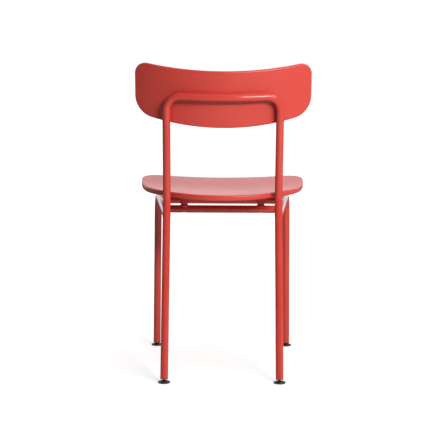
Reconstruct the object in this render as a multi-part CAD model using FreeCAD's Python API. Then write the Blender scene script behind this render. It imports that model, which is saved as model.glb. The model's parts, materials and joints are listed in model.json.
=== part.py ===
import FreeCAD, Part
import math
import os

Vector = FreeCAD.Vector

# Red side chair: a welded tube frame, a dished seat and a curved backrest, standing on tilting glides.
# Millimetres. Origin on the floor, midway between the feet. +Z up, the chair faces -Y, left is +X.

# Tube of the whole frame
tube_diameter = 19.0
tube_wall = 2.0

# Rear legs and uprights, on the tube's centreline
upright_half_spacing = 136.5
upright_recline_deg = 10.0
rear_bend_y = 140.0
rear_bend_above_rail = 40.0
rear_bend_radius = 100.0
rear_foot_half_spacing = 141.0
rear_foot_y = 205.0

# Top bar behind the backrest, on the tube's centreline
top_bar_height = 693.5
top_corner_radius = 36.0

# Front legs, each bent back into a side rail that falls to the rear leg
front_corner_half_spacing = 171.0
front_corner_y = -172.0
front_corner_radius = 45.0
front_foot_half_spacing = 176.5
front_foot_y = -205.0
side_rail_slope_deg = 2.8

# Cross rails between the side rails
seat_gap = 24.6
rear_rail_y = 52.0
mid_rail_y = -84.0

# Seat panel
seat_height = 456.3
seat_front_rise = 11.4
seat_half_width = 211.0
seat_rear_y = 172.0
seat_widest_y = -119.0
seat_front_y = -212.0
seat_squareness = 2.23
seat_thickness = 13.5
seat_edge_radius = 3.5
seat_dish_depth = 9.0
seat_side_rise = 9.9
seat_waterfall_length = 55.0
seat_waterfall_drop = 8.0

# Backrest panel, measured along the reclined face from the middle of the top bar
backrest_half_width = 213.8
backrest_top = 60.5
backrest_top_end_rise = 13.5
backrest_bottom = 77.3
backrest_bottom_end_rise = 25.0
backrest_upper_corner_radius = 28.0
backrest_lower_corner_radius = 50.0
backrest_rear_radius = 380.0
backrest_thickness = 9.5
backrest_edge_radius = 4.0
backrest_gap = 3.0

# Seat fixings: M5 screws from inside the rails, through spacers into brass inserts
seat_fixing_half_spacing = 96.0
seat_screw_diameter = 5.0
seat_screw_hole_diameter = 5.5
seat_screw_head_diameter = 8.5
seat_screw_head_height = 5.0
seat_screw_key_width = 4.0
seat_access_hole_diameter = 9.5
seat_insert_diameter = 8.0
seat_insert_length = 8.0
spacer_diameter = 23.6
spacer_groove_radius = 3.2
spacer_saddle_wrap = 5.5

# Backrest fixings: M5 screws from inside the top bar, through spacers into brass inserts
back_fixing_half_spacing = 60.0
back_screw_diameter = 5.0
back_screw_hole_diameter = 5.5
back_screw_head_diameter = 9.0
back_screw_head_height = 3.0
back_screw_key_width = 3.0
back_access_hole_diameter = 11.0
back_plug_depth = 3.5
back_spacer_diameter = 14.0
back_insert_diameter = 7.0
back_insert_length = 6.0

# Shared fixing details
insert_recess = 0.5
screw_end_clearance = 1.0
key_depth_share = 0.6

# Glides: a plug in the tube end carries a ball, and a floor pad snaps over the ball
pad_diameter = 30.0
pad_rim_radius = 2.1
pad_collar_diameter = 12.0
pad_height = 6.3
ball_diameter = 6.0
ball_height = 4.5
ball_clearance = 0.3
stem_diameter = 3.2
stem_length = 4.4
glide_collar_thickness = 1.6
glide_plug_length = 20.0
glide_plug_chamfer = 1.0

tube_radius = tube_diameter / 2
bore_radius = tube_radius - tube_wall
rear_rail_height = seat_height - seat_thickness - seat_gap - tube_radius
rear_bend_height = rear_rail_height + rear_bend_above_rail
recline = math.radians(upright_recline_deg)
side_rail_fall = math.tan(math.radians(side_rail_slope_deg))

up_along_back = Vector(0, math.sin(recline), math.cos(recline))
out_of_back = Vector(0, math.cos(recline), -math.sin(recline))
back_base = Vector(0, rear_bend_y, rear_bend_height)
upward = Vector(0, 0, 1)
SIDES = {"left": 1, "right": -1}
RAILS = {"rear": rear_rail_y, "front": mid_rail_y}
same_direction = 1e-6


def back_point(x, out, up):
    """A point in the reclined plane of the uprights: across, out to the rear, and up along them."""
    return back_base + Vector(x, 0, 0) + out_of_back * out + up_along_back * up


# The top bar and the backrest bend about one axis, so the bar follows the panel's rear face.
bar_radius = backrest_rear_radius + backrest_gap + tube_radius
bar_reach = math.hypot(bar_radius, top_corner_radius)
bar_half_angle = math.asin(upright_half_spacing / bar_reach) - math.atan2(top_corner_radius, bar_radius)
bend_axis_out = top_corner_radius * math.sin(bar_half_angle) - bar_radius * math.cos(bar_half_angle)
bar_bow = bend_axis_out + bar_radius
bar_up = (top_bar_height - rear_bend_height + bar_bow * math.sin(recline)) / math.cos(recline)


def bar_point(angle):
    """A point on the top bar's centreline, at an angle from the middle about the bend axis."""
    return back_point(bar_radius * math.sin(angle), bend_axis_out + bar_radius * math.cos(angle), bar_up)


def line_edge(start, end):
    return Part.LineSegment(start, end).toShape()


def arc_edge(start, middle, end):
    return Part.Arc(start, middle, end).toShape()


def bend(before, corner, after, radius):
    """The start, middle and end of the arc that rounds a corner of a path."""
    to_before = (before - corner).normalize()
    to_after = (after - corner).normalize()
    half_angle = to_before.getAngle(to_after) / 2
    reach = radius / math.tan(half_angle)
    centre = corner + (to_before + to_after).normalize() * (radius / math.sin(half_angle))
    middle = centre + (corner - centre).normalize() * radius
    return corner + to_before * reach, middle, corner + to_after * reach


def sweep_rod(path, start, direction, radius=tube_radius):
    """A full rod along a path, by default the tube's outside."""
    section = Part.Face(Part.Wire(Part.makeCircle(radius, start, direction)))
    return path.makePipe(section)


def sweep_tube(path, start, direction):
    """The tube itself, hollow, along a path."""
    return sweep_rod(path, start, direction).cut(sweep_rod(path, start, direction, bore_radius))


def at(radius, height):
    """A point of a turned part's outline."""
    return Vector(radius, 0, height)


def runs(*points):
    """Straight edges from point to point."""
    return [line_edge(start, end) for start, end in zip(points, points[1:])]


def turned(edges):
    """A solid of revolution about Z from a closed outline."""
    return Part.Face(Part.Wire(edges)).revolve(Vector(0, 0, 0), upward, 360)


def placed(shape, origin, direction):
    """A copy of a shape built upward, moved to an origin and turned to a direction."""
    moved = shape.copy()
    moved.Placement = FreeCAD.Placement(origin, FreeCAD.Rotation(upward, direction))
    return moved


def drill(diameter, length, origin, direction):
    """A round cutter from an origin along a direction."""
    return placed(Part.makeCylinder(diameter / 2, length), origin, direction)


def runs_along(edge, direction):
    """True of a straight edge along a direction."""
    if not isinstance(edge.Curve, Part.Line):
        return False
    return edge.tangentAt(edge.FirstParameter).cross(direction).Length < same_direction


def edges_along(shape, direction):
    return [edge for edge in shape.Edges if runs_along(edge, direction)]


def edges_across(shape, direction):
    return [edge for edge in shape.Edges if not runs_along(edge, direction)]


# Frame paths

def foot_direction(foot, corner):
    """The unit vector up a leg, from the ball of its glide."""
    return (corner - foot).normalize()


def tube_end(foot, corner):
    """Where the leg's tube ends above its glide."""
    return foot + foot_direction(foot, corner) * (stem_length + glide_collar_thickness)


def rear_foot(side):
    return Vector(side * rear_foot_half_spacing, rear_foot_y, ball_height)


def rear_bend(side):
    return back_point(side * upright_half_spacing, 0, 0)


def front_foot(side):
    return Vector(side * front_foot_half_spacing, front_foot_y, ball_height)


def side_rail_height(y):
    return rear_rail_height + (rear_rail_y - y) * side_rail_fall


def front_corner(side):
    return Vector(side * front_corner_half_spacing, front_corner_y, side_rail_height(front_corner_y))


def side_rail_rear(side):
    """Where the side rail's centreline meets that of the rear leg."""
    foot = rear_foot(side)
    leg = rear_bend(side) - foot
    share = (side_rail_height(foot.y) - foot.z) / (leg.z + leg.y * side_rail_fall)
    return foot + leg * share


def side_rail_at(side, y):
    """The side rail's centreline at a given depth."""
    front = front_corner(side)
    rear = side_rail_rear(side)
    return front + (rear - front) * ((y - front.y) / (rear.y - front.y))


def half_back_edges(side):
    """Rear leg, seat-level bend, upright and top corner of one side, from the foot up."""
    foot = tube_end(rear_foot(side), rear_bend(side))
    corner_low = back_point(side * upright_half_spacing, 0, bar_up - top_corner_radius)
    bar_end = bar_point(side * bar_half_angle)
    centre = bar_end - up_along_back * top_corner_radius
    corner_middle = centre + (corner_low - centre + bar_end - centre).normalize() * top_corner_radius
    bend_start, bend_middle, bend_end = bend(foot, rear_bend(side), corner_low, rear_bend_radius)
    return [
        line_edge(foot, bend_start),
        arc_edge(bend_start, bend_middle, bend_end),
        line_edge(bend_end, corner_low),
        arc_edge(corner_low, corner_middle, bar_end),
    ]


def back_frame_path():
    bar = arc_edge(bar_point(bar_half_angle), bar_point(0), bar_point(-bar_half_angle))
    left = half_back_edges(SIDES["left"])
    right = half_back_edges(SIDES["right"])
    return Part.Wire(left + [bar] + right[::-1])


def front_leg_path(side):
    foot = tube_end(front_foot(side), front_corner(side))
    rear = side_rail_rear(side)
    bend_start, bend_middle, bend_end = bend(foot, front_corner(side), rear, front_corner_radius)
    return Part.Wire([
        line_edge(foot, bend_start),
        arc_edge(bend_start, bend_middle, bend_end),
        line_edge(bend_end, rear),
    ])


def cross_rail_path(y):
    return Part.Wire([line_edge(side_rail_at(SIDES["right"], y), side_rail_at(SIDES["left"], y))])


# Panels

def seat_top_height(x, y):
    """Height of the seat's top face: dished along its depth, raised at its sides, rolled down in front."""
    depth_share = (seat_rear_y - y) / (seat_rear_y - seat_front_y)
    roll_share = max(0.0, seat_front_y + seat_waterfall_length - y) / seat_waterfall_length
    dish = seat_dish_depth * math.sin(math.pi * depth_share) ** 2
    return (seat_height + seat_front_rise * depth_share - dish
            + seat_side_rise * (x / seat_half_width) ** 2 - seat_waterfall_drop * roll_share ** 2)


def seat_edge_point(turn):
    """A point of the seat's outline: a superellipse, widest near the front."""
    end_y = seat_rear_y if math.sin(turn) > 0 else seat_front_y
    power = 2 / seat_squareness
    across = math.copysign(abs(math.cos(turn)) ** power, math.cos(turn))
    along = abs(math.sin(turn)) ** power
    return Vector(seat_half_width * across, seat_widest_y + (end_y - seat_widest_y) * along, 0)


def seat_outline():
    steps = 72
    outline = Part.BSplineCurve()
    points = [seat_edge_point(2 * math.pi * step / steps) for step in range(steps)]
    outline.interpolate(Points=points, PeriodicFlag=True)
    return Part.Wire([outline.toShape()])


def seat_blank():
    """The dished slab cut to the outline, before its holes."""
    margin = seat_thickness
    columns = 15
    rows = 25
    x_step = 2 * (seat_half_width + margin) / (columns - 1)
    y_step = (seat_rear_y - seat_front_y + 2 * margin) / (rows - 1)
    grid = []
    for column in range(columns):
        x = -seat_half_width - margin + column * x_step
        line = []
        for row in range(rows):
            y = seat_front_y - margin + row * y_step
            line.append(Vector(x, y, seat_top_height(x, y)))
        grid.append(line)
    surface = Part.BSplineSurface()
    surface.interpolate(grid)
    slab = surface.toShape().extrude(Vector(0, 0, -seat_thickness))
    prism = Part.Face(seat_outline()).extrude(Vector(0, 0, 2 * seat_height))
    panel = slab.common(prism).Solids[0]
    return panel.makeFillet(seat_edge_radius, edges_across(panel, upward))


def backrest_blank():
    """A curved band cut to the backrest's outline, before its holes."""
    axis_foot = back_point(0, bend_axis_out, bar_up - 2 * backrest_bottom)
    band_height = 2 * (backrest_bottom + backrest_top + backrest_top_end_rise)
    outer = Part.makeCylinder(backrest_rear_radius, band_height, axis_foot, up_along_back)
    inner_radius = backrest_rear_radius - backrest_thickness
    inner = Part.makeCylinder(inner_radius, band_height, axis_foot, up_along_back)

    def outline_point(x, up):
        return back_point(x, bend_axis_out, bar_up + up)

    top_end = backrest_top + backrest_top_end_rise
    bottom_end = backrest_bottom_end_rise - backrest_bottom
    top_left = outline_point(backrest_half_width, top_end)
    top_right = outline_point(-backrest_half_width, top_end)
    bottom_left = outline_point(backrest_half_width, bottom_end)
    bottom_right = outline_point(-backrest_half_width, bottom_end)
    outline = Part.Wire([
        arc_edge(top_left, outline_point(0, backrest_top), top_right),
        line_edge(top_right, bottom_right),
        arc_edge(bottom_right, outline_point(0, -backrest_bottom), bottom_left),
        line_edge(bottom_left, top_left),
    ])
    prism = Part.Face(outline).extrude(out_of_back * (2 * backrest_rear_radius))

    def rise(edge):
        return (edge.CenterOfMass - outline_point(0, 0)).dot(up_along_back)

    upper_edges = [edge for edge in edges_along(prism, out_of_back) if rise(edge) > 0]
    prism = prism.makeFillet(backrest_upper_corner_radius, upper_edges)
    lower_edges = [edge for edge in edges_along(prism, out_of_back) if rise(edge) < 0]
    prism = prism.makeFillet(backrest_lower_corner_radius, lower_edges)
    panel = prism.common(outer.cut(inner)).Solids[0]
    return panel.makeFillet(backrest_edge_radius, edges_across(panel, out_of_back))


# Fixings, built upward

def cap_screw(diameter, length, head_diameter, head_height, key_width):
    """A socket screw: its head ends at zero and its shank runs up from there."""
    shank = Part.makeCylinder(diameter / 2, length)
    head = Part.makeCylinder(head_diameter / 2, head_height, Vector(0, 0, -head_height))
    key_sides = 6
    corner_radius = key_width / 2 / math.cos(math.pi / key_sides)
    corners = []
    for step in range(key_sides + 1):
        turn = 2 * math.pi * step / key_sides
        corners.append(Vector(corner_radius * math.cos(turn), corner_radius * math.sin(turn), -head_height))
    key = Part.Face(Part.makePolygon(corners)).extrude(Vector(0, 0, key_depth_share * head_height))
    return head.fuse(shank).removeSplitter().cut(key)


def plain_sleeve(outer_diameter, inner_diameter, length):
    return Part.makeCylinder(outer_diameter / 2, length).cut(Part.makeCylinder(inner_diameter / 2, length))


def head_seat(head_diameter):
    """How far from the tube's axis a flat screw head comes to rest in the round bore."""
    return math.sqrt(bore_radius ** 2 - (head_diameter / 2) ** 2)


def seat_fixing_points():
    """Where the seat screws cross the rails' axes, by rail and side."""
    points = {}
    for rail, y in RAILS.items():
        for side_name, side in SIDES.items():
            points[rail, side_name] = Vector(side * seat_fixing_half_spacing, y, side_rail_height(y))
    return points


def seat_underside(point):
    return seat_top_height(point.x, point.y) - seat_thickness


def seat_spacer(point, seat, rail_rod):
    """A sleeve from the rail's round top to the seat's dished underside, grooved just above the rail."""
    bottom = tube_radius - spacer_saddle_wrap
    top = seat_underside(point) - point.z + seat_edge_radius
    groove_middle = tube_radius + spacer_groove_radius
    groove_top = groove_middle + spacer_groove_radius
    hole = seat_screw_hole_diameter / 2
    body = spacer_diameter / 2
    sides = runs(at(body, tube_radius), at(body, bottom), at(hole, bottom),
                 at(hole, top), at(body, top), at(body, groove_top))
    waist = at(body - spacer_groove_radius, groove_middle)
    groove = arc_edge(at(body, groove_top), waist, at(body, tube_radius))
    return placed(turned(sides + [groove]), point, upward).cut(rail_rod).cut(seat)


def back_fixing_frames():
    """Where the backrest screws cross the top bar's axis, and their direction into the panel."""
    frames = {}
    for side_name, side in SIDES.items():
        angle = math.asin(side * back_fixing_half_spacing / bar_radius)
        inward = Vector(-math.sin(angle), 0, 0) - out_of_back * math.cos(angle)
        frames[side_name] = (bar_point(angle), inward)
    return frames


# Glides, built with the ball's centre at zero and the leg upward

def glide_insert():
    ball = Part.makeSphere(ball_diameter / 2)
    collar_top = stem_length + glide_collar_thickness
    plug_top = collar_top + glide_plug_length
    body = turned(runs(
        at(0, 0),
        at(stem_diameter / 2, 0),
        at(stem_diameter / 2, stem_length),
        at(tube_radius, stem_length),
        at(tube_radius, collar_top),
        at(bore_radius, collar_top),
        at(bore_radius, plug_top - glide_plug_chamfer),
        at(bore_radius - glide_plug_chamfer, plug_top),
        at(0, plug_top),
        at(0, 0),
    ))
    return body.fuse(ball).removeSplitter()


def glide_pad():
    """A disc with a half-round rim and a collar that closes round the ball."""
    sole_radius = pad_diameter / 2 - pad_rim_radius
    sole = at(sole_radius, -ball_height)
    rim = at(pad_diameter / 2, pad_rim_radius - ball_height)
    shoulder = at(sole_radius, 2 * pad_rim_radius - ball_height)
    collar = at(pad_collar_diameter / 2, pad_height - ball_height)
    pad = turned(runs(shoulder, collar, at(0, pad_height - ball_height), at(0, -ball_height), sole)
                 + [arc_edge(sole, rim, shoulder)])
    return pad.cut(Part.makeSphere(ball_diameter / 2 + ball_clearance))


# Assembly

nodes = {}

back_path = back_frame_path()
back_start = tube_end(rear_foot(SIDES["left"]), rear_bend(SIDES["left"]))
back_direction = foot_direction(rear_foot(SIDES["left"]), rear_bend(SIDES["left"]))
back_rod = sweep_rod(back_path, back_start, back_direction)
back_tube = sweep_tube(back_path, back_start, back_direction)

front_rods = {}
for side_name, side in SIDES.items():
    path = front_leg_path(side)
    start = tube_end(front_foot(side), front_corner(side))
    direction = foot_direction(front_foot(side), front_corner(side))
    front_rods[side_name] = sweep_rod(path, start, direction)
    nodes["front_leg_" + side_name] = sweep_tube(path, start, direction).cut(back_rod)

across = Vector(1, 0, 0)
rail_rods = {}
rail_tubes = {}
for rail, y in RAILS.items():
    path = cross_rail_path(y)
    start = side_rail_at(SIDES["right"], y)
    rail_rods[rail] = sweep_rod(path, start, across)
    rail_tubes[rail] = sweep_tube(path, start, across)
    for side_name in SIDES:
        rail_tubes[rail] = rail_tubes[rail].cut(front_rods[side_name])

seat = seat_blank()
backrest = backrest_blank()

seat_screws = []
seat_inserts = []
seat_panel = seat
for (rail, side_name), point in seat_fixing_points().items():
    underside = Vector(point.x, point.y, seat_underside(point))
    insert_foot = underside + upward * insert_recess
    nodes["seat_spacer_" + rail + "_" + side_name] = seat_spacer(point, seat, rail_rods[rail])

    hole_top = insert_foot.z + seat_insert_length
    seat_panel = seat_panel.cut(drill(seat_insert_diameter, hole_top - point.z, point, upward))
    sleeve = plain_sleeve(seat_insert_diameter, seat_screw_diameter, seat_insert_length)
    seat_inserts.append(placed(sleeve, insert_foot, upward))

    head_rest = point + upward * head_seat(seat_screw_head_diameter)
    screw_length = hole_top - screw_end_clearance - head_rest.z
    screw = cap_screw(seat_screw_diameter, screw_length, seat_screw_head_diameter,
                      seat_screw_head_height, seat_screw_key_width)
    seat_screws.append(placed(screw, head_rest, upward))

    screw_hole = drill(seat_screw_hole_diameter, tube_diameter, point, upward)
    access_hole = drill(seat_access_hole_diameter, tube_diameter, point, upward * -1)
    rail_tubes[rail] = rail_tubes[rail].cut(screw_hole).cut(access_hole)

back_screws = []
back_inserts = []
back_plugs = []
backrest_panel = backrest
for side_name, (origin, inward) in back_fixing_frames().items():
    spacer_reach = tube_radius + backrest_gap
    spacer_length = spacer_reach + backrest_thickness / 2
    spacer = plain_sleeve(back_spacer_diameter, back_screw_hole_diameter, spacer_length)
    nodes["back_spacer_" + side_name] = placed(spacer, origin, inward).cut(back_rod).cut(backrest)

    insert_foot = origin + inward * (spacer_reach + insert_recess)
    pocket_depth = spacer_reach + insert_recess + back_insert_length
    backrest_panel = backrest_panel.cut(drill(back_insert_diameter, pocket_depth, origin, inward))
    sleeve = plain_sleeve(back_insert_diameter, back_screw_diameter, back_insert_length)
    back_inserts.append(placed(sleeve, insert_foot, inward))

    head_rest = head_seat(back_screw_head_diameter)
    screw = cap_screw(back_screw_diameter, pocket_depth - screw_end_clearance - head_rest,
                      back_screw_head_diameter, back_screw_head_height, back_screw_key_width)
    back_screws.append(placed(screw, origin + inward * head_rest, inward))

    screw_hole = drill(back_screw_hole_diameter, tube_diameter, origin, inward)
    access_hole = drill(back_access_hole_diameter, tube_diameter, origin, inward * -1)
    back_tube = back_tube.cut(screw_hole).cut(access_hole)
    plug_start = origin - inward * (tube_radius - back_plug_depth)
    plug = drill(back_access_hole_diameter, tube_diameter, plug_start, inward * -1)
    back_plugs.append(plug.common(back_rod))

nodes["back_frame_tube"] = back_tube
nodes["rear_cross_rail"] = rail_tubes["rear"]
nodes["mid_cross_rail"] = rail_tubes["front"]
nodes["seat_panel"] = seat_panel
nodes["backrest_panel"] = backrest_panel
nodes["seat_screws"] = Part.makeCompound(seat_screws)
nodes["seat_inserts"] = Part.makeCompound(seat_inserts)
nodes["back_screws"] = Part.makeCompound(back_screws)
nodes["back_inserts"] = Part.makeCompound(back_inserts)
nodes["back_hole_plugs"] = Part.makeCompound(back_plugs)

for side_name, side in SIDES.items():
    for place, foot, corner in (("front", front_foot(side), front_corner(side)),
                                ("rear", rear_foot(side), rear_bend(side))):
        leg_name = place + "_" + side_name
        nodes["glide_insert_" + leg_name] = placed(glide_insert(), foot, foot_direction(foot, corner))
        nodes["glide_pad_" + leg_name] = placed(glide_pad(), foot, upward)

os.makedirs("parts", exist_ok=True)
for name, shape in nodes.items():
    shape.exportStep("parts/" + name + ".step")
    state = "valid" if shape.isValid() else "INVALID"
    print(name, len(shape.Solids), "solids", round(shape.Volume), "mm3", state)
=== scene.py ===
import json
import math

import bmesh
import bpy
from mathutils import Matrix, Vector
from mathutils.geometry import intersect_line_line


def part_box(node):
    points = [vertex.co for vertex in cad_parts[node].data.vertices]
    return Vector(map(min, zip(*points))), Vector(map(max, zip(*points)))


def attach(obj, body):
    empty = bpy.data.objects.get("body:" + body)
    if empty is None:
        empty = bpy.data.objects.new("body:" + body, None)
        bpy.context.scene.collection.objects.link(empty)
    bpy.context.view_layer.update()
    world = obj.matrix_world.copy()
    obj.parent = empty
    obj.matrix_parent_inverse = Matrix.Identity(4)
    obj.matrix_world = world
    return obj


# Red side chair seen from behind: a powder-coated tube frame, satin seat and backrest, black glides.
# Metres, in the frame of the solids: +Z up, the chair faces -Y, the sitter's left is +X.

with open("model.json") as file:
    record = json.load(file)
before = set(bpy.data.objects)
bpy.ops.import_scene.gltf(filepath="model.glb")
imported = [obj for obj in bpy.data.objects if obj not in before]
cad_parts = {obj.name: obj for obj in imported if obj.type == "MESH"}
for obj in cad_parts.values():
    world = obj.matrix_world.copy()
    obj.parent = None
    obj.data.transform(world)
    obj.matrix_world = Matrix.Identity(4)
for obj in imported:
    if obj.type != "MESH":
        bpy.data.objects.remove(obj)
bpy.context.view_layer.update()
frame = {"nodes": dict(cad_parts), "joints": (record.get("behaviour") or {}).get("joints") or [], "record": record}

# Camera of the photograph, in its square picture
picture_side_px = 448
focal_length_px = 1341.0
sensor_width_mm = 36.0
camera_place = Vector((0.0145, 3.396, 0.8284))
camera_pitch = 0.136
camera_yaw = 0.0055
camera_roll = -0.0056

# Upper end of the left rear leg, on the tube's centreline
rear_bend = Vector((0.1365, 0.140, 0.4487))

# Weld beads where the tubes meet
weld_radius = 0.0019
weld_root = 0.0004
weld_ripple = 0.00018
weld_ripples_round = 26
weld_steps_round = 156
weld_section_steps = 12
# Sine of the angle between two tube faces, below which they make no corner for a bead
weld_least_corner = 0.001

# Studio: soft boxes round the chair, a white floor and a white backdrop
light_target = Vector((0, 0.15, 0.45))
light_distance = 3.0
fill_side = 0.9
floor_side = 30.0
floor_near_glow = 0.49
floor_far_glow = 0.95
floor_fade = 1.1
backdrop_radiance = 1.66
backdrop_focus = 2
room_radiance = 0.03

# Depth unit of the paint's and the plastics' relief
MICRON = 1e-6

# Colours, scene linear
RED = (0.63, 0.060, 0.042)
RED_DEEP = (0.585, 0.050, 0.036)
BLACK = (0.012, 0.0115, 0.011)
BLACK_WORN = (0.030, 0.028, 0.026)
ZINC = (0.62, 0.62, 0.60)
BRASS = (0.72, 0.52, 0.23)
FLOOR = (0.56, 0.56, 0.56)


# Material helpers

class Surface:
    """A principled material whose textures are laid out in metres on the object."""

    def __init__(self, name):
        self.material = bpy.data.materials.new(name)
        self.material.use_nodes = True
        self.nodes = self.material.node_tree.nodes
        self.links = self.material.node_tree.links
        self.shader = self.nodes["Principled BSDF"]
        self.place = self.nodes.new("ShaderNodeTexCoord").outputs["Object"]

    def set(self, **values):
        """Sets sockets of the shader, by their names."""
        for socket, value in values.items():
            self.shader.inputs[socket.replace("_", " ").capitalize()].default_value = value

    def noise(self, size, detail=2.0):
        """A noise whose features are about this size."""
        node = self.nodes.new("ShaderNodeTexNoise")
        node.inputs["Scale"].default_value = 1 / size
        node.inputs["Detail"].default_value = detail
        self.links.new(self.place, node.inputs["Vector"])
        return node.outputs["Fac"]

    def cells(self, size):
        """Rounded cells of about this size."""
        node = self.nodes.new("ShaderNodeTexVoronoi")
        node.feature = "SMOOTH_F1"
        node.inputs["Scale"].default_value = 1 / size
        self.links.new(self.place, node.inputs["Vector"])
        return node.outputs["Distance"]

    def spread(self, value, low, high, from_low=0.3, from_high=0.7):
        """A value, by default a texture's middle range, spread over other limits."""
        node = self.nodes.new("ShaderNodeMapRange")
        node.inputs["From Min"].default_value = from_low
        node.inputs["From Max"].default_value = from_high
        node.inputs["To Min"].default_value = low
        node.inputs["To Max"].default_value = high
        self.links.new(value, node.inputs["Value"])
        return node.outputs["Result"]

    def colour(self, value, first, second):
        """The base colour, between two colours by a texture."""
        node = self.nodes.new("ShaderNodeMix")
        node.data_type = "RGBA"
        node.inputs["A"].default_value = (*first, 1)
        node.inputs["B"].default_value = (*second, 1)
        self.links.new(self.spread(value, 0, 1), node.inputs["Factor"])
        self.links.new(node.outputs["Result"], self.shader.inputs["Base Color"])

    def roughness(self, value, low, high):
        """The roughness, between two limits by a texture."""
        self.links.new(self.spread(value, low, high), self.shader.inputs["Roughness"])

    def relief(self, *layers):
        """Bumps laid one on the other, each a texture and its depth."""
        below = None
        for value, depth in layers:
            node = self.nodes.new("ShaderNodeBump")
            node.inputs["Distance"].default_value = depth
            self.links.new(value, node.inputs["Height"])
            if below:
                self.links.new(below, node.inputs["Normal"])
            below = node.outputs["Normal"]
        self.links.new(below, self.shader.inputs["Normal"])


def powder_coat():
    """Semi-gloss paint with the fine orange peel of baked powder."""
    surface = Surface("red_powder_coat")
    surface.colour(surface.noise(size=0.09, detail=3), RED, RED_DEEP)
    surface.roughness(surface.noise(size=0.02), low=0.16, high=0.19)
    surface.relief((surface.noise(size=0.0022), 1.5 * MICRON), (surface.noise(size=0.0007), 0.4 * MICRON))
    return surface.material


def satin_panel():
    """A satin face with a very fine moulded grain."""
    surface = Surface("red_satin_panel")
    surface.colour(surface.noise(size=0.16, detail=3), RED, RED_DEEP)
    surface.roughness(surface.noise(size=0.03, detail=3), low=0.38, high=0.42)
    surface.relief((surface.cells(size=0.0009), 4 * MICRON), (surface.noise(size=0.006), 5 * MICRON))
    return surface.material


def moulded_trim():
    """The spacers and plugs, in the panels' red."""
    surface = Surface("red_moulded_trim")
    surface.colour(surface.noise(size=0.03), RED, RED_DEEP)
    surface.roughness(surface.noise(size=0.008), low=0.17, high=0.20)
    surface.relief((surface.noise(size=0.0009), 2 * MICRON))
    return surface.material


def glide_plastic():
    """Black glides, a little rubbed by the floor."""
    surface = Surface("black_glide_plastic")
    surface.colour(surface.noise(size=0.007, detail=4), BLACK, BLACK_WORN)
    surface.roughness(surface.noise(size=0.004, detail=3), low=0.38, high=0.55)
    surface.relief((surface.noise(size=0.0008), 20 * MICRON))
    return surface.material


def turned_metal(name, first, second):
    """Screws and inserts: plated or turned metal with fine tool marks."""
    surface = Surface(name)
    surface.set(metallic=1.0)
    surface.colour(surface.noise(size=0.004, detail=3), first, second)
    surface.roughness(surface.noise(size=0.0015), low=0.28, high=0.42)
    surface.relief((surface.noise(size=0.0003, detail=1), 6 * MICRON))
    return surface.material


def darker(colour, share=0.8):
    """A colour at a share of its brightness."""
    return tuple(channel * share for channel in colour)


def dress_nodes(materials):
    """Gives each solid the material of its record slot."""
    for subpart in frame["record"]["subparts"]:
        for slot in frame["nodes"][subpart["node"]].material_slots:
            slot.material = materials[subpart["material_slot"]]


# Weld beads

class Tube:
    """A straight stretch of tube, by a point on its axis and its direction."""

    def __init__(self, point, direction):
        self.point = point
        self.direction = direction.normalized()

    def way_out(self, start, along, radius):
        """How far along a line from a start the line leaves this tube, or passes closest to it."""
        across = along - self.direction * along.dot(self.direction)
        offset = start - self.point
        offset = offset - self.direction * offset.dot(self.direction)
        a = across.dot(across)
        b = offset.dot(across)
        c = offset.dot(offset) - radius * radius
        return (math.sqrt(max(b * b - a * c, 0)) - b) / a

    def outward(self, point):
        """The direction straight out from the axis to a point."""
        offset = point - self.point
        return (offset - self.direction * offset.dot(self.direction)).normalized()


def bead_rings(mesh, branch, other, radius):
    """Rings of points round the seam where a branch tube ends on another tube."""
    side = branch.direction.orthogonal().normalized()
    top = branch.direction.cross(side)
    rings = []
    for step in range(weld_steps_round):
        turn = 2 * math.pi * step / weld_steps_round
        normal = side * math.cos(turn) + top * math.sin(turn)
        start = branch.point + normal * radius
        seam = start + branch.direction * other.way_out(start, branch.direction, radius)
        facing = other.outward(seam)
        corner = normal.cross(facing)
        ripple = weld_ripple * math.sin(weld_ripples_round * turn)
        bead = weld_root + (weld_radius - weld_root + ripple) * corner.length
        along = corner.normalized() if corner.length > weld_least_corner else side
        middle = (normal + facing).normalized()
        ring = []
        for section_step in range(weld_section_steps):
            angle = 2 * math.pi * section_step / weld_section_steps
            spoke = middle * math.cos(angle) + middle.cross(along) * math.sin(angle)
            ring.append(mesh.verts.new(seam + spoke * bead))
        rings.append(ring)
    return rings


def weld(name, branch, other, radius, material):
    """A bead round the end of a branch tube."""
    mesh = bmesh.new()
    rings = bead_rings(mesh, branch, other, radius)
    for ring, following in zip(rings, rings[1:] + rings[:1]):
        for first in range(weld_section_steps):
            second = (first + 1) % weld_section_steps
            mesh.faces.new((ring[first], ring[second], following[second], following[first]))
    bmesh.ops.recalc_face_normals(mesh, faces=mesh.faces)
    data = bpy.data.meshes.new(name)
    mesh.to_mesh(data)
    mesh.free()
    data.shade_smooth()
    data.materials.append(material)
    piece = bpy.data.objects.new(name, data)
    bpy.context.scene.collection.objects.link(piece)
    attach(piece, "frame")


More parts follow.
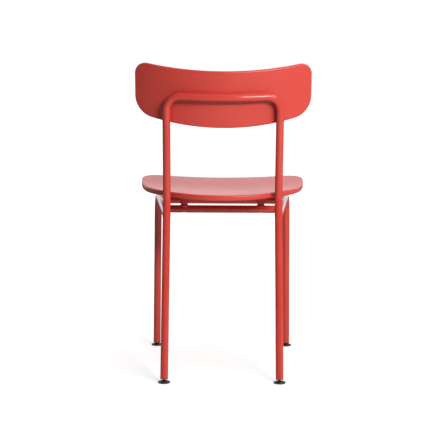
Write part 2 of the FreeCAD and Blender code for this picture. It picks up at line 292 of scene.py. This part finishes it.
def weld_frame(material):
    """Beads where the side rails meet the rear legs, and where the cross rails meet the side rails."""
    balls = {joint["name"]: Vector(joint["pos_m"]) for joint in frame["joints"]}
    rails = [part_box("rear_cross_rail"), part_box("mid_cross_rail")]
    radius = (rails[0][1].z - rails[0][0].z) / 2
    for side_name, side in (("left", 1), ("right", -1)):
        ends = []
        for low, high in rails:
            middle = (low + high) / 2
            ends.append(Vector((side * high.x, middle.y, middle.z)))
        rear_end, mid_end = ends
        foot = balls["rear_" + side_name + "_pad_tilt"]
        leg_top = Vector((side * rear_bend.x, rear_bend.y, rear_bend.z))
        corner = intersect_line_line(rear_end, mid_end, foot, leg_top)[0]
        leg = Tube(corner, leg_top - foot)
        side_rail = Tube(corner, mid_end - rear_end)
        inward = Vector((-side, 0, 0))
        weld("weld_side_rail_" + side_name, side_rail, leg, radius, material)
        weld("weld_rear_rail_" + side_name, Tube(rear_end, inward), side_rail, radius, material)
        weld("weld_mid_rail_" + side_name, Tube(mid_end, inward), side_rail, radius, material)


# Stage

def soft_box(name, azimuth_deg, elevation_deg, width, height, radiance):
    """A soft box that faces the chair. Its azimuth is to the camera's right of straight behind."""
    azimuth = math.radians(azimuth_deg)
    elevation = math.radians(elevation_deg)
    level = Vector((-math.sin(azimuth), math.cos(azimuth), 0))
    outward = level * math.cos(elevation) + Vector((0, 0, math.sin(elevation)))
    data = bpy.data.lights.new(name, "AREA")
    data.shape = "RECTANGLE"
    data.size = width
    data.size_y = height
    data.energy = math.pi * width * height * radiance
    light = bpy.data.objects.new(name, data)
    facing = (-outward).to_track_quat("-Z", "Y").to_matrix().to_4x4()
    light.matrix_world = Matrix.Translation(light_target + outward * light_distance) @ facing
    bpy.context.scene.collection.objects.link(light)


def studio_floor():
    """A pale floor. Its glow, which only the camera sees, keeps it white away from the chair."""
    mesh = bmesh.new()
    bmesh.ops.create_grid(mesh, x_segments=1, y_segments=1, size=floor_side / 2)
    data = bpy.data.meshes.new("floor")
    mesh.to_mesh(data)
    mesh.free()
    surface = Surface("pale_floor")
    surface.colour(surface.noise(size=0.4), FLOOR, darker(FLOOR, share=0.99))
    surface.set(roughness=0.9)
    surface.shader.inputs["Emission Color"].default_value = (1, 1, 1, 1)
    distance = surface.nodes.new("ShaderNodeVectorMath")
    distance.operation = "LENGTH"
    surface.links.new(surface.place, distance.inputs[0])
    glow = surface.spread(distance.outputs["Value"], floor_near_glow, floor_far_glow,
                          from_low=0, from_high=floor_fade)
    seen_glow = surface.nodes.new("ShaderNodeMath")
    seen_glow.operation = "MULTIPLY"
    surface.links.new(glow, seen_glow.inputs[0])
    surface.links.new(surface.nodes.new("ShaderNodeLightPath").outputs["Is Camera Ray"], seen_glow.inputs[1])
    surface.links.new(seen_glow.outputs[0], surface.shader.inputs["Emission Strength"])
    data.materials.append(surface.material)
    floor = bpy.data.objects.new("floor", data)
    bpy.context.scene.collection.objects.link(floor)


def studio_world():
    """White to the camera; it lights the chair from the front, as the white backdrop does."""
    world = bpy.data.worlds.new("studio")
    bpy.context.scene.world = world
    world.use_nodes = True
    nodes = world.node_tree.nodes
    links = world.node_tree.links
    background = nodes["Background"]
    background.inputs["Color"].default_value = (1, 1, 1, 1)
    ray = nodes.new("ShaderNodeTexCoord").outputs["Generated"]
    facing = nodes.new("ShaderNodeVectorMath")
    facing.operation = "DOT_PRODUCT"
    facing.inputs[1].default_value = (0, -1, 0)
    links.new(ray, facing.inputs[0])
    front_half = nodes.new("ShaderNodeMath")
    front_half.operation = "MAXIMUM"
    front_half.inputs[1].default_value = 0
    links.new(facing.outputs["Value"], front_half.inputs[0])
    lobe = nodes.new("ShaderNodeMath")
    lobe.operation = "POWER"
    lobe.inputs[1].default_value = backdrop_focus
    links.new(front_half.outputs[0], lobe.inputs[0])
    strength = nodes.new("ShaderNodeMix")
    strength.inputs["B"].default_value = 1
    links.new(nodes.new("ShaderNodeLightPath").outputs["Is Camera Ray"], strength.inputs["Factor"])
    backdrop = nodes.new("ShaderNodeMath")
    backdrop.operation = "MULTIPLY_ADD"
    backdrop.inputs[1].default_value = backdrop_radiance
    backdrop.inputs[2].default_value = room_radiance
    links.new(lobe.outputs[0], backdrop.inputs[0])
    links.new(backdrop.outputs[0], strength.inputs["A"])
    links.new(strength.outputs["Result"], background.inputs["Strength"])


def photo_camera():
    """The photograph's camera, straight behind the chair and a little above it."""
    data = bpy.data.cameras.new("camera")
    data.sensor_fit = "HORIZONTAL"
    data.sensor_width = sensor_width_mm
    data.lens = focal_length_px * sensor_width_mm / picture_side_px
    camera = bpy.data.objects.new("camera", data)
    turn = Matrix.Rotation(math.pi - camera_yaw, 4, "Z")
    tilt = Matrix.Rotation(math.pi / 2 - camera_pitch, 4, "X")
    roll = Matrix.Rotation(-camera_roll, 4, "Z")
    camera.matrix_world = Matrix.Translation(camera_place) @ turn @ tilt @ roll
    bpy.context.scene.collection.objects.link(camera)
    bpy.context.scene.camera = camera


tube_paint = powder_coat()
dress_nodes({
    "red_tube": tube_paint,
    "red_panel": satin_panel(),
    "red_trim": moulded_trim(),
    "black_glide": glide_plastic(),
    "screw_steel": turned_metal("zinc_screw", ZINC, darker(ZINC)),
    "insert_brass": turned_metal("brass_insert", BRASS, darker(BRASS)),
})
weld_frame(tube_paint)

studio_floor()
studio_world()
soft_box("key", azimuth_deg=23, elevation_deg=26, width=0.64, height=0.36, radiance=59)
soft_box("key_wing", azimuth_deg=38, elevation_deg=26, width=0.7, height=0.5, radiance=27)
soft_box("side_fill", azimuth_deg=50, elevation_deg=28, width=fill_side, height=fill_side, radiance=6.6)
soft_box("high_fill", azimuth_deg=30, elevation_deg=50, width=fill_side, height=fill_side, radiance=3.9)
soft_box("front_right", azimuth_deg=105, elevation_deg=50, width=fill_side, height=fill_side, radiance=6.7)
soft_box("overhead", azimuth_deg=0, elevation_deg=85, width=fill_side, height=fill_side, radiance=0.9)
photo_camera()
bpy.context.scene.view_settings.view_transform = "Standard"
